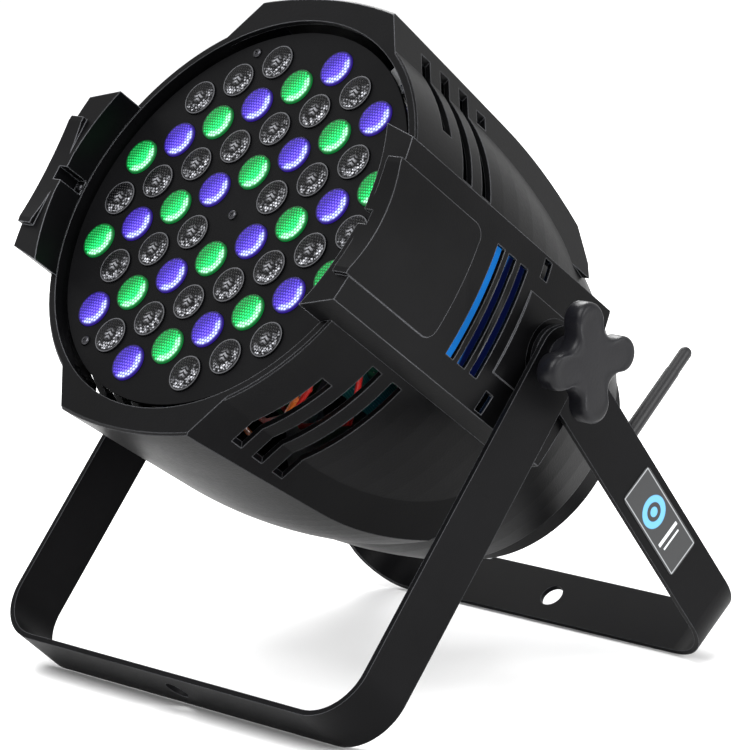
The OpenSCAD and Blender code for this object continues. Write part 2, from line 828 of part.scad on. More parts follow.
module antenna_rod() {
  color("#1c1d20") head() translate([antenna_at[0], antenna_at[1], antenna_z])
    rotate([-90 - antenna_lean, 0, 0]) {
      rotate([0, 90, 0]) cylinder(r = 5, h = 4.8, center = true);
      rotate([0, 90, 0]) cylinder(r = 1.5, h = 9.6, center = true);
      translate([0, 0, 3]) cylinder(r = 2.4, h = 5);
      translate([0, 0, 6.6]) cylinder(r1 = 3.4, r2 = 4.4, h = 4);
      translate([0, 0, 10.6]) cylinder(r1 = 4.4, r2 = 4.1, h = antenna_len - 28);
      translate([0, 0, antenna_len - 17.4]) cylinder(r = 3.8, h = 13.6);
      translate([0, 0, antenna_len - 3.8]) sphere(r = 3.8);
    }
}

// ---------------------------------------------------------------- all nodes

front_yoke();
rear_yoke();
yoke_label();
knob_right();
knob_left();
stud_right();
stud_left();
washer_right();
washer_left();
spacer_rings();
rubber_rings();
insert_right();
insert_left();
housing();
side_cover_right();
side_cover_left();
cover_screws();
lens_plate();
plate_screws();
lenses_clear();
lenses_green();
lenses_blue();
led_board();
led_chips();
heat_sink();
fan_frame();
fan_rotor();
power_supply();
insulation_sheet();
driver_board();
wires_red();
wires_orange();
chassis_plate();
rear_posts();
rear_cap();
cap_screws();
display_board();
display_window();
button_menu();
button_up();
button_down();
button_enter();
mains_inlet();
mains_outlet();
signal_inlet();
signal_outlet();
latch_tab();
fuse_holder();
fuse_cap();
safety_eye();
antenna_stub();
antenna_rod();
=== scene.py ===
"""Looks of a par can light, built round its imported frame."""

import json
import logging
import math
from dataclasses import dataclass, field
from enum import Enum
from typing import Any, Callable, Sequence

import bmesh
import bpy
from mathutils import Matrix, Vector


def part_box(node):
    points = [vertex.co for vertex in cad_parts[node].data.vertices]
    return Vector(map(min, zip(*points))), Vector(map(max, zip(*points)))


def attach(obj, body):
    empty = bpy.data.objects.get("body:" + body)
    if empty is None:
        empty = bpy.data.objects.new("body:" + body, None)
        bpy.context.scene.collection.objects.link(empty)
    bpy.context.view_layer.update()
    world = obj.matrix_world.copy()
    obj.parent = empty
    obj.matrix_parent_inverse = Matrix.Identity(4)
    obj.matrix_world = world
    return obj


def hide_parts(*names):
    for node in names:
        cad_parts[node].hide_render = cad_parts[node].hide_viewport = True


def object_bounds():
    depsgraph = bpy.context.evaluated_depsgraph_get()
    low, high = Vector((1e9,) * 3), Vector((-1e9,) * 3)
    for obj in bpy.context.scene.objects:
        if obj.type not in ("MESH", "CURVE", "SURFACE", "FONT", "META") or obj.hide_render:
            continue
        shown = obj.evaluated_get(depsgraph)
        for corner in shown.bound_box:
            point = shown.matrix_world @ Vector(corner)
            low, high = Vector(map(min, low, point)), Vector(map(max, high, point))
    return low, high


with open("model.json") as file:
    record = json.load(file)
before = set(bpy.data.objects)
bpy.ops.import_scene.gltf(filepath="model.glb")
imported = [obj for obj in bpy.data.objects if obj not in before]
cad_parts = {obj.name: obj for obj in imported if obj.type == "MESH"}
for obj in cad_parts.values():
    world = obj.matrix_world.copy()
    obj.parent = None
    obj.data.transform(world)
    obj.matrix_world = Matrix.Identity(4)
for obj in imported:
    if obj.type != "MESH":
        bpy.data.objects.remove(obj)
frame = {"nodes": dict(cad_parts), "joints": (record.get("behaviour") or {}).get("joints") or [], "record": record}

MM = 0.001
CAD_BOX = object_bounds()
LOG = logging.getLogger("par_can")
FAN_TO_FACE = 0.057

Colour = tuple[float, float, float]
Point = tuple[float, float, float]


# ------------------------------------------------------------------ node graphs


class Value:
    """A socket's value that takes part in sums."""

    def __init__(self, graph: "Graph", socket: bpy.types.NodeSocket) -> None:
        """Keeps the graph and the socket."""
        self.graph = graph
        self.socket = socket

    def _maths(self, operation: str, *terms: Any) -> "Value":
        """Adds one Math node.

        Args:
            operation: The Math node's operation.
            terms: Up to three values or numbers.

        Returns:
            The node's result.
        """
        node = self.graph.add("ShaderNodeMath", {i: t for i, t in enumerate(terms)}, operation=operation)
        return Value(self.graph, node.outputs[0])

    def __add__(self, other: Any) -> "Value":
        """Self plus other."""
        return self._maths("ADD", self, other)

    __radd__ = __add__

    def __sub__(self, other: Any) -> "Value":
        """Self minus other."""
        return self._maths("SUBTRACT", self, other)

    def __rsub__(self, other: Any) -> "Value":
        """Other minus self."""
        return self._maths("SUBTRACT", other, self)

    def __mul__(self, other: Any) -> "Value":
        """Self times other."""
        return self._maths("MULTIPLY", self, other)

    __rmul__ = __mul__

    def __abs__(self) -> "Value":
        """Size of self."""
        return self._maths("ABSOLUTE", self)

    def wave(self) -> "Value":
        """Sine of self."""
        return self._maths("SINE", self)

    def root(self) -> "Value":
        """Square root of self."""
        return self._maths("SQRT", self)

    def least(self, other: Any) -> "Value":
        """The lower of self and other."""
        return self._maths("MINIMUM", self, other)

    def most(self, other: Any) -> "Value":
        """The higher of self and other."""
        return self._maths("MAXIMUM", self, other)

    def ramp(self, low: float, high: float) -> "Value":
        """Smooth step of self.

        Args:
            low: Where the result is 0.
            high: Where the result is 1.

        Returns:
            A value between 0 and 1.
        """
        node = self.graph.add(
            "ShaderNodeMapRange",
            {"Value": self, "From Min": low, "From Max": high, "To Min": 0.0, "To Max": 1.0},
            interpolation_type="SMOOTHSTEP",
        )
        return Value(self.graph, node.outputs["Result"])


class Graph:
    """Adds nodes to one node tree."""

    def __init__(self, tree: bpy.types.NodeTree) -> None:
        """Keeps the tree."""
        self.tree = tree

    def add(self, kind: str, sockets: dict[Any, Any] | None = None, **settings: Any) -> bpy.types.Node:
        """Adds a node of any type.

        Args:
            kind: The node's type.
            sockets: Values or links for its inputs, by name or number.
            settings: The node's own settings, set before its sockets.

        Returns:
            The new node.
        """
        node = self.tree.nodes.new(kind)
        for name, setting in settings.items():
            setattr(node, name, setting)
        for key, given in (sockets or {}).items():
            if isinstance(given, Value):
                self.tree.links.new(given.socket, node.inputs[key])
            elif isinstance(given, bpy.types.NodeSocket):
                self.tree.links.new(given, node.inputs[key])
            else:
                node.inputs[key].default_value = given
        return node

    def value(
        self, kind: str, output: Any, sockets: dict[Any, Any] | None = None, **settings: Any
    ) -> Value:
        """Adds a node and returns one output.

        Args:
            kind: The node's type.
            output: The output's name or number.
            sockets: Values or links for its inputs.
            settings: The node's own settings.

        Returns:
            The output as a value.
        """
        return Value(self, self.add(kind, sockets, **settings).outputs[output])


class Shading(Graph):
    """One material's graph, with the patterns that the finishes share."""

    def __init__(self, name: str) -> None:
        """Makes an empty material.

        Args:
            name: The material's name.
        """
        self.material = bpy.data.materials.new(name)
        self.material.use_nodes = True
        super().__init__(self.material.node_tree)
        self.tree.nodes.clear()
        self.place = self.value("ShaderNodeTexCoord", "Object")

    def noise(
        self, scale: float, detail: float = 3.0, rough: float = 0.55, where: Value | None = None
    ) -> Value:
        """Fractal noise.

        Args:
            scale: Features in a metre.
            detail: Octaves.
            rough: Share that each octave keeps.
            where: Coordinates, or none for the object's own.

        Returns:
            The noise, about 0.5 on average.
        """
        return self.value(
            "ShaderNodeTexNoise",
            0,
            {"Vector": where or self.place, "Scale": scale, "Detail": detail, "Roughness": rough},
        )

    def cells(self, scale: float) -> Value:
        """Distance to the points of a cell pattern."""
        return self.value("ShaderNodeTexVoronoi", "Distance", {"Vector": self.place, "Scale": scale})

    def scaled(self, vector: Value, by: Any) -> Value:
        """A colour or vector times a number.

        Args:
            vector: The colour or vector.
            by: The number or value.

        Returns:
            The scaled vector.
        """
        return self.value("ShaderNodeVectorMath", "Vector", {0: vector, "Scale": by}, operation="SCALE")

    def dot(self, one: Any, two: Any) -> Value:
        """The dot product of two vectors.

        Args:
            one: A vector.
            two: A vector.

        Returns:
            The product.
        """
        return self.value("ShaderNodeVectorMath", "Value", {0: one, 1: two}, operation="DOT_PRODUCT")

    def blend(self, share: Any, first: Any, second: Any) -> Value:
        """Mixes two colours.

        Args:
            share: Share of the second colour.
            first: A colour or a value.
            second: A colour or a value.

        Returns:
            The mixed colour.
        """
        node = self.add("ShaderNodeMix", None, data_type="RGBA")
        for key, given in ((0, share), (6, first), (7, second)):
            if isinstance(given, Value):
                self.tree.links.new(given.socket, node.inputs[key])
            elif key == 0:
                node.inputs[key].default_value = given
            else:
                node.inputs[key].default_value = (*given[:3], 1.0)
        return Value(self, node.outputs[2])

    def split(self, vector: Value) -> tuple[Value, Value, Value]:
        """The three parts of a vector."""
        node = self.add("ShaderNodeSeparateXYZ", {0: vector})
        return Value(self, node.outputs[0]), Value(self, node.outputs[1]), Value(self, node.outputs[2])

    def soft_edge(self, radius: float) -> Value:
        """A normal that rounds sharp edges.

        Args:
            radius: The edge's radius in metres.

        Returns:
            The normal.
        """
        return self.value("ShaderNodeBevel", "Normal", {"Radius": radius}, samples=4)

    def sharpness(self, soft: Value) -> Value:
        """Where an edge is, between 0 and 1.

        Args:
            soft: The normal that rounds sharp edges.

        Returns:
            One along a sharp edge, zero away from it.
        """
        true = self.value("ShaderNodeNewGeometry", "Normal")
        return (1.0 - self.dot(soft, true)).ramp(0.02, 0.16)

    def relief(self, height: Value, depth: float, normal: Value | None = None) -> Value:
        """A bump.

        Args:
            height: The height, between 0 and 1.
            depth: What a height of 1 stands for, in metres.
            normal: The normal it starts from.

        Returns:
            The bumped normal.
        """
        sockets: dict[Any, Any] = {"Height": height, "Distance": depth, "Strength": 1.0}
        if normal is not None:
            sockets["Normal"] = normal
        return self.value("ShaderNodeBump", "Normal", sockets)

    def surface(self, **sockets: Any) -> bpy.types.Material:
        """Ends the graph in a Principled shader.

        Args:
            sockets: Inputs by name, with underscores for spaces.

        Returns:
            The material.
        """
        named = {key.replace("_", " "): given for key, given in sockets.items()}
        for key, given in named.items():
            if isinstance(given, tuple) and len(given) == 3:
                named[key] = (*given, 1.0)
        shader = self.add("ShaderNodeBsdfPrincipled", named)
        self.add("ShaderNodeOutputMaterial", {"Surface": shader.outputs[0]})
        return self.material


# ------------------------------------------------------------------ finishes


@dataclass(frozen=True)
class Finish:
    """A named surface finish."""

    name: str

    def build(self) -> bpy.types.Material:
        """Makes the finish's material."""
        raise NotImplementedError


@dataclass(frozen=True)
class Paint(Finish):
    """Paint or moulded plastic with a fine grain and soft edges."""

    colour: Colour = (0.02, 0.02, 0.02)
    roughness: float = 0.4
    grain: float = 900.0
    depth: float = 0.00006
    edge: float = 0.0008
    gloss: float = 0.5
    coat: float = 0.0
    dust: float = 0.25
    # glint and glint_tone: share and colour of a painted highlight along sharp edges
    glint: float = 0.0
    glint_tone: Colour = (0.42, 0.43, 0.46)

    def build(self) -> bpy.types.Material:
        """Makes the paint: mottled colour, uneven gloss, an orange-peel grain and a painted edge highlight."""
        s = Shading(self.name)
        mottle = s.noise(14.0, 4.0)
        grain = s.noise(self.grain, 2.0)
        speck = s.noise(self.grain * 0.45, 4.0, 0.7)
        dark = tuple(c * 0.8 for c in self.colour)
        light = tuple(min(1.0, c * 1.25 + 0.0008) for c in self.colour)
        colour = s.blend(mottle.ramp(0.3, 0.7), dark, light)
        dusty = tuple(min(1.0, c * 1.6 + 0.008) for c in self.colour)
        colour = s.blend(speck.ramp(0.62, 0.8) * self.dust, colour, dusty)
        rough = (mottle - 0.5) * 0.16 + (speck - 0.5) * 0.12 + self.roughness
        soft = s.soft_edge(self.edge)
        normal = s.relief(grain, self.depth, soft)
        # painted highlight: a lighter colour along sharp edges, standing in for the thin light lines that lamps
        # draw there
        if self.glint > 0:
            edge_highlight_and_wear = s.sharpness(soft) * (mottle.ramp(0.3, 0.6) * 0.5 + 0.5)
            colour = s.blend(edge_highlight_and_wear * self.glint, colour, self.glint_tone)
        return s.surface(
            Base_Color=colour,
            Roughness=rough,
            Normal=normal,
            Specular_IOR_Level=self.gloss,
            Coat_Weight=self.coat,
            Coat_Roughness=0.12,
        )


@dataclass(frozen=True)
class BareMetal(Finish):
    """Turned, brushed or plated metal."""

    colour: Colour = (0.6, 0.6, 0.62)
    roughness: float = 0.28
    brushed: float = 0.3
    edge: float = 0.0003
    stretch: Point = (40.0, 900.0, 900.0)

    def build(self) -> bpy.types.Material:
        """Makes the metal: drawn scratches and slight staining."""
        s = Shading(self.name)
        along = s.value("ShaderNodeMapping", 0, {"Vector": s.place, "Scale": self.stretch})
        lines = s.noise(3.0, 3.0, 0.6, along)
        stain = s.noise(60.0, 4.0)
        colour = s.blend(stain.ramp(0.35, 0.75), self.colour, tuple(c * 0.72 for c in self.colour))
        rough = (lines - 0.5) * self.brushed + (stain - 0.5) * 0.15 + self.roughness
        return s.surface(
            Base_Color=colour,
            Metallic=1.0,
            Roughness=rough,
            Normal=s.relief(lines, 0.00003, s.soft_edge(self.edge)),
        )


class Glow(Enum):
    """What a lens shows."""

    CLEAR = "clear"
    GREEN = "green"
    BLUE = "blue"


@dataclass(frozen=True)
class LensOptic(Finish):
    """A moulded lens with its beads, dark or lit."""

    glow: Glow = Glow.CLEAR
    deep: Colour = (0.0, 0.35, 0.1)
    bright: Colour = (0.1, 1.0, 0.45)
    strength: float = 1.6
    shine: Colour = (0.8, 1.0, 0.95)
    black: Colour = (0.0015, 0.0015, 0.002)
    # colour of the painted reflections on a dark lens
    painted_reflection: Colour = (0.7, 0.71, 0.76)

    def build(self) -> bpy.types.Material:
        """Makes the lens: a bright crescent when lit, painted silver reflections when dark."""
        s = Shading(self.name)
        spot = s.value("ShaderNodeAttribute", "Vector", attribute_name="lens_place")
        x, y, bead = s.split(spot)
        far = (x * x + y * y).root()
        if self.glow is Glow.CLEAR:
            return self._dark(s, x, y, far, bead)
        lean = (x * 0.75 - y * 0.45 + 0.55).ramp(0.0, 1.25)
        level = (0.42 + lean * 0.58) * (1.0 - far.ramp(0.84, 1.0) * 0.6)
        level = level * (0.45 + bead * 0.7)
        fleck = s.noise(1600.0, 2.0)
        level = level * (0.8 + fleck * 0.4)
        colour = s.blend(level.ramp(0.25, 0.85), self.deep, self.bright)
        crescent = lean.ramp(0.55, 0.8) * far.ramp(0.5, 0.72) * (1.0 - far.ramp(0.86, 0.97))
        colour = s.blend(crescent * (0.25 + bead * 0.3), colour, self.shine)
        return s.surface(
            Base_Color=(0.004, 0.004, 0.004),
            Roughness=0.3,
            Specular_IOR_Level=0.12,
            Emission_Color=s.scaled(colour, level * self.strength),
            Emission_Strength=1.0,
            Coat_Weight=bead * 0.08,
            Coat_Roughness=0.1,
        )

    def _dark(self, s: Shading, x: Value, y: Value, far: Value, bead: Value) -> bpy.types.Material:
        """The lens with its chip off, with painted reflections: a silver band on one side, a zigzag core and a rim
        line.

        Args:
            s: The material's graph.
            x: Place across the lens.
            y: Place up the lens.
            far: Distance from the lens's middle.
            bead: Height on a bead.

        Returns:
            The material.
        """
        spark = s.noise(520.0, 3.0, 0.7)
        zig = abs((y * 13.0 + abs((x * 6.0).wave()) * 1.8).wave())
        core = (1.0 - far.ramp(0.12, 0.4)) * zig.ramp(0.45, 0.9)
        band = far.ramp(0.42, 0.6) * (1.0 - far.ramp(0.78, 0.92))
        lean = (x * 0.62 - y * 0.72 + 0.35).ramp(0.1, 0.95)
        rim = far.ramp(0.9, 0.94) * (1.0 - far.ramp(0.965, 0.985))
        # painted reflection: a silver band lighter on one side, a zigzag core and a thin rim line, painted into
        # the colour
        painted_reflection = band * lean * spark.ramp(0.44, 0.6) * (0.12 + bead * 0.95) + core * 0.26 + rim * 0.1
        colour = s.blend(painted_reflection.least(1.0), self.black, self.painted_reflection)
        return s.surface(
            Base_Color=colour,
            Metallic=painted_reflection.least(1.0) * 0.4,
            Roughness=0.32 - spark * 0.1,
            Specular_IOR_Level=0.1,
            Coat_Weight=0.03 + painted_reflection.least(1.0) * 0.2,
            Coat_Roughness=0.08,
        )


@dataclass(frozen=True)
class Circuit(Finish):
    """A circuit board with tracks and pads."""

    mask: Colour = (0.03, 0.16, 0.07)
    track: Colour = (0.07, 0.3, 0.13)
    pad: Colour = (0.5, 0.48, 0.4)

    def build(self) -> bpy.types.Material:
        """Makes the board's tracks and pads."""
        s = Shading(self.name)
        _, y, z = s.split(s.place)
        wander = s.noise(90.0, 1.0)
        lines = abs(((y + z) * 1500.0 + wander * 9.0).wave())
        dots = s.cells(260.0)
        colour = s.blend(lines.ramp(0.8, 0.95), self.mask, self.track)
        colour = s.blend(1.0 - dots.ramp(0.1, 0.16), colour, self.pad)
        return s.surface(
            Base_Color=colour,
            Roughness=0.35 + wander * 0.1,
            Normal=s.relief(lines, 0.00004),
            Coat_Weight=0.3,
        )


@dataclass(frozen=True)
class Film(Finish):
    """A thin sheet of coloured insulating film."""

    colour: Colour = (0.02, 0.3, 1.0)
    lit: float = 0.6
    lit_zone: tuple[float, float] = (-0.1195, -0.116)
    shade: Colour = (0.003, 0.006, 0.045)

    def build(self) -> bpy.types.Material:
        """Makes the film, with creases and painted light that comes through it: painted shade in the crease
        hollows, a lit front and a shade colour further back.
        """
        s = Shading(self.name)
        crease = s.noise(24.0, 3.0)
        seat = head_seat()
        along = s.dot(s.place, tuple(seat.axis)) - seat.origin.dot(seat.axis)
        near = along.ramp(*self.lit_zone)
        # painted shade: the colour is darker where the crease bump is low, in its hollows
        tone = s.blend(crease.ramp(0.35, 0.7), tuple(c * 0.7 for c in self.colour), self.colour)
        # painted light and shade: the lit colour near the front of the head, the shade colour further back
        colour = s.blend(near, self.shade, tone)
        return s.surface(
            Base_Color=colour,
            Roughness=0.28 + crease * 0.12,
            Normal=s.relief(crease, 0.0012),
            # the film glows with painted light, though it is no lamp
            Emission_Color=s.scaled(colour, self.lit),
            Emission_Strength=1.0,
        )


@dataclass(frozen=True)
class Print(Finish):
    """A plain printed label: a ring mark over two bars."""

    ground: Colour = (0.002, 0.0028, 0.004)
    ink: Colour = (0.1, 0.36, 0.62)
    bars: Colour = (0.6, 0.62, 0.64)

    def build(self) -> bpy.types.Material:
        """Makes the label from its own map, which runs 0 to 1 both ways."""
        s = Shading(self.name)
        u, v, _ = s.split(s.value("ShaderNodeUVMap", "UV", uv_map="label_map"))
        x = (u - 0.5) * 0.4
        y = v - 0.62
        far = (x * x + y * y).root()
        disc = 1.0 - far.ramp(0.142, 0.152)
        notch = (1.0 - far.ramp(0.082, 0.09)) - (1.0 - far.ramp(0.042, 0.048))
        bar = self._bar(u, v, 0.33, 0.02, 0.36).most(self._bar(u, v, 0.26, 0.011, 0.3))
        edge = abs(u - 0.5).ramp(0.43, 0.45).most(abs(v - 0.5).ramp(0.472, 0.48))
        edge = edge - abs(u - 0.5).ramp(0.455, 0.47).most(abs(v - 0.5).ramp(0.484, 0.49))
        colour = s.blend((disc - notch).most(0.0), self.ground, self.ink)
        colour = s.blend(bar, colour, self.bars)
        colour = s.blend(edge.most(0.0) * 0.5, colour, self.bars)
        edge_highlight_and_wear = s.noise(300.0, 3.0)
        return s.surface(Base_Color=colour, Roughness=0.28 + edge_highlight_and_wear * 0.12, Normal=s.relief(edge_highlight_and_wear, 0.00002))

    def _bar(self, u: Value, v: Value, height: float, half: float, length: float) -> Value:
        """A flat printed bar across the label.

        Args:
            u: Place across the label.
            v: Place up the label.
            height: Middle of the bar.
            half: Half the bar's thickness.
            length: Half the bar's length.

        Returns:
            One on the bar, zero off it.
        """
        across = 1.0 - abs(v - height).ramp(half * 0.8, half)
        return across * (1.0 - abs(u - 0.5).ramp(length - 0.02, length))


@dataclass(frozen=True)
class Studio(Finish):
    """The pale floor."""

    colour: Colour = (0.9, 0.9, 0.9)

    def build(self) -> bpy.types.Material:
        """Makes the floor, faintly uneven."""
        s = Shading(self.name)
        tone = s.noise(3.0, 2.0)
        colour = s.blend(tone, tuple(c * 0.98 for c in self.colour), self.colour)
        return s.surface(Base_Color=colour, Roughness=0.85, Specular_IOR_Level=0.1)


ALL_FINISHES: tuple[Finish, ...] = (
    Paint(
        "yoke_black", (0.0016, 0.0016, 0.002), roughness=0.46, grain=1100.0, depth=0.00005,
        edge=0.0006, gloss=0.06, dust=0.06, glint=0.28,
    ),
    Print("label"),
    Paint(
        "knob_black", (0.003, 0.003, 0.0042), roughness=0.36, grain=700.0, depth=0.00008,
        edge=0.0012, gloss=0.2, dust=0.06, glint=0.1,
    ),
    BareMetal("steel", (0.34, 0.34, 0.36)),
    BareMetal("dark_steel", (0.05, 0.05, 0.055), roughness=0.3, brushed=0.15),
    Paint("nylon", (0.03, 0.03, 0.033), grain=500.0),
    Paint("rubber", (0.01, 0.01, 0.01), roughness=0.7, grain=400.0),
    BareMetal("brass", (0.7, 0.5, 0.2), roughness=0.25),
    Paint(
        "body_black", (0.0015, 0.0015, 0.0018), roughness=0.38, grain=800.0, depth=0.00007,
        edge=0.0009, gloss=0.07, dust=0.06, glint=0.28,
    ),
    Paint(
        "cover_black", (0.0016, 0.0016, 0.0019), roughness=0.36, grain=1000.0, depth=0.00005,
        edge=0.0009, gloss=0.08, dust=0.05, glint=0.4,
    ),
    Paint(
        "plate_black", (0.0015, 0.0015, 0.0018), roughness=0.5, grain=1000.0,
        depth=0.00004, edge=0.0003, gloss=0.06,
    ),
    LensOptic("lens_clear", glow=Glow.CLEAR),
    LensOptic(
        "lens_green", glow=Glow.GREEN, deep=(0.0, 0.36, 0.06), bright=(0.01, 0.95, 0.2), strength=2.5,
    ),
    LensOptic(
        "lens_blue", glow=Glow.BLUE, deep=(0.05, 0.015, 0.5), bright=(0.15, 0.09, 1.0), strength=2.6,
    ),
    Circuit("board_white", mask=(0.6, 0.6, 0.58), track=(0.7, 0.7, 0.68)),
    Paint("chip_yellow", (0.8, 0.6, 0.1), grain=2000.0, depth=0.00002, edge=0.0001),
    BareMetal("sink_metal", (0.5, 0.51, 0.52), roughness=0.4),
    Paint("fan_black", (0.02, 0.02, 0.022), roughness=0.42, depth=0.00004, edge=0.0004),
    Circuit("board_green"),
    Film("film_blue"),
    Paint(
        "wire_red", (0.62, 0.02, 0.015), roughness=0.35, grain=1500.0,
        depth=0.00003, edge=0.0002, coat=0.2,
    ),
    Paint(
        "wire_orange", (0.75, 0.16, 0.02), roughness=0.35, grain=1500.0,
        depth=0.00003, edge=0.0002, coat=0.2,
    ),
    BareMetal("sheet_zinc", (0.45, 0.46, 0.48), roughness=0.35),
    Paint(
        "cap_black", (0.002, 0.002, 0.0024), edge=0.0005, gloss=0.12, dust=0.2, glint=0.2,
    ),
    Paint(
        "window_dark", (0.03, 0.004, 0.005), roughness=0.12, depth=0.00001,
        edge=0.0004, coat=0.8, dust=0.0,
    ),
    Paint(
        "button_grey", (0.06, 0.06, 0.065), roughness=0.45, grain=1300.0, depth=0.00004, edge=0.0005,
    ),
    Paint(
        "socket_blue", (0.02, 0.07, 0.42), roughness=0.3, depth=0.00003,
        edge=0.0005, coat=0.2, dust=0.05,
    ),
    Paint(
        "socket_grey", (0.32, 0.33, 0.34), roughness=0.32, depth=0.00003,
        edge=0.0005, coat=0.1, dust=0.05,
    ),
    Paint(
        "socket_black", (0.014, 0.014, 0.015), roughness=0.36, depth=0.00004,
        edge=0.0004, gloss=0.45, dust=0.1,
    ),
    BareMetal("plated", (0.72, 0.73, 0.75), roughness=0.18, brushed=0.1),
    Paint(
        "antenna_black", (0.006, 0.006, 0.007), roughness=0.42, grain=1400.0,
        depth=0.00004, edge=0.0004, gloss=0.3,
    ),
)
FINISHES: dict[str, Finish] = {finish.name: finish for finish in ALL_FINISHES}


class Paintbox:
    """Makes each finish once and puts it on pieces."""

    def __init__(self) -> None:
        """Starts with no materials made."""
        self.made: dict[str, bpy.types.Material] = {}

    def get(self, slot: str) -> bpy.types.Material:
        """The material of a slot."""
        if slot not in self.made:
            self.made[slot] = FINISHES[slot].build()
        return self.made[slot]

    def dress(self, piece: bpy.types.Object, slot: str) -> bpy.types.Object:
        """Puts a slot's material on a new piece.

        Args:
            piece: The piece.
            slot: The record's material slot.

        Returns:
            The piece.
        """
        piece.data.materials.clear()
        piece.data.materials.append(self.get(slot))
        return piece

    def dress_frame(self) -> None:
        """Gives every CAD node the material of its slot."""
        for part in frame["record"]["subparts"]:
            node = frame["nodes"][part["node"]]
            if not node.material_slots:
                node.data.materials.append(None)
            for place in node.material_slots:
                place.material = self.get(part["material_slot"])


# ------------------------------------------------------------------ places


@dataclass
class Seat:
    """A piece's own axes in the row frame: x along the tilt axis, z along its own axis."""

    origin: Vector
    axis: Vector

    @property
    def matrix(self) -> Matrix:
        """Turns the seat's millimetres into the row frame's metres."""
        z = self.axis.normalized()
        x = Vector((1.0, 0.0, 0.0))
        y = z.cross(x)
        turn = Matrix((x, y, z)).transposed().to_4x4()
        return Matrix.Translation(self.origin) @ turn @ Matrix.Scale(MM, 4)


def joint(name: str) -> dict[str, Any]:
    """The record's joint of that name."""
    return next(j for j in frame["joints"] if j["name"] == name)


def head_seat() -> Seat:
    """The head's axes, with z = 0 at the lens face."""
    spin = joint("fan_spin")
    axis = Vector(spin["axis"])
    return Seat(Vector(spin["pos_m"]) + axis * FAN_TO_FACE, axis)


def round_point(radius: float, degrees: float) -> Vector:
    """A point on a circle round the origin.

    Args:
        radius: The circle's radius.
        degrees: The turn from the first axis.

    Returns:
        The point, in two dimensions.
    """
    turn = math.radians(degrees)
    return Vector((radius * math.cos(turn), radius * math.sin(turn)))


def placed(name: str, data: Any) -> bpy.types.Object:
    """Links a new object at the origin.

    Args:
        name: The object's name.
        data: Its mesh, light or camera.

    Returns:
        The object.
    """
    thing = bpy.data.objects.new(name, data)
    bpy.context.scene.collection.objects.link(thing)
    return thing


def new_piece(
    name: str, build: Callable[[bmesh.types.BMesh], None], seat: Matrix, smooth: float = 30.0
) -> bpy.types.Object:
    """Makes a mesh piece whose object stays at the origin.

    Args:
        name: The piece's name.
        build: Fills a bmesh in the seat's millimetres.
        seat: The seat's matrix.
        smooth: Edges sharper than this many degrees stay sharp.

    Returns:
        The piece.
    """
    shape = bmesh.new()
    build(shape)
    bmesh.ops.remove_doubles(shape, verts=shape.verts, dist=1e-4)
    bmesh.ops.recalc_face_normals(shape, faces=shape.faces)
    shape.transform(seat)
    mesh = bpy.data.meshes.new(name)
    shape.to_mesh(mesh)
    shape.free()
    mesh.shade_smooth()
    mesh.set_sharp_from_angle(angle=math.radians(smooth))
    piece = placed(name, mesh)
    LOG.info("%s: %d faces", name, len(mesh.polygons))
    return piece


def lathe(
    shape: bmesh.types.BMesh,
    profile: Sequence[tuple[float, float]],
    around: int = 32,
    place: Matrix = Matrix(),
) -> None:
    """Turns a profile round z.

    Args:
        shape: The mesh to add to.
        profile: Radius and height, from one end on the axis to the other.
        around: Steps in a turn.
        place: Moves the result.
    """
    rings: list[list[bmesh.types.BMVert]] = []
    for radius, height in profile:
        if radius < 1e-6:
            rings.append([shape.verts.new(place @ Vector((0.0, 0.0, height)))])
            continue
        ring = []
        for i in range(around):
            turn = math.tau * i / around
            spot = Vector((radius * math.cos(turn), radius * math.sin(turn), height))
            ring.append(shape.verts.new(place @ spot))
        rings.append(ring)
    for low, high in zip(rings, rings[1:]):
        for i in range(around):
            j = (i + 1) % around
            if len(low) == 1 and len(high) == 1:
                continue
            if len(low) == 1:
                shape.faces.new((low[0], high[j], high[i]))
            elif len(high) == 1:
                shape.faces.new((low[i], low[j], high[0]))
            else:
                shape.faces.new((low[i], low[j], high[j], high[i]))


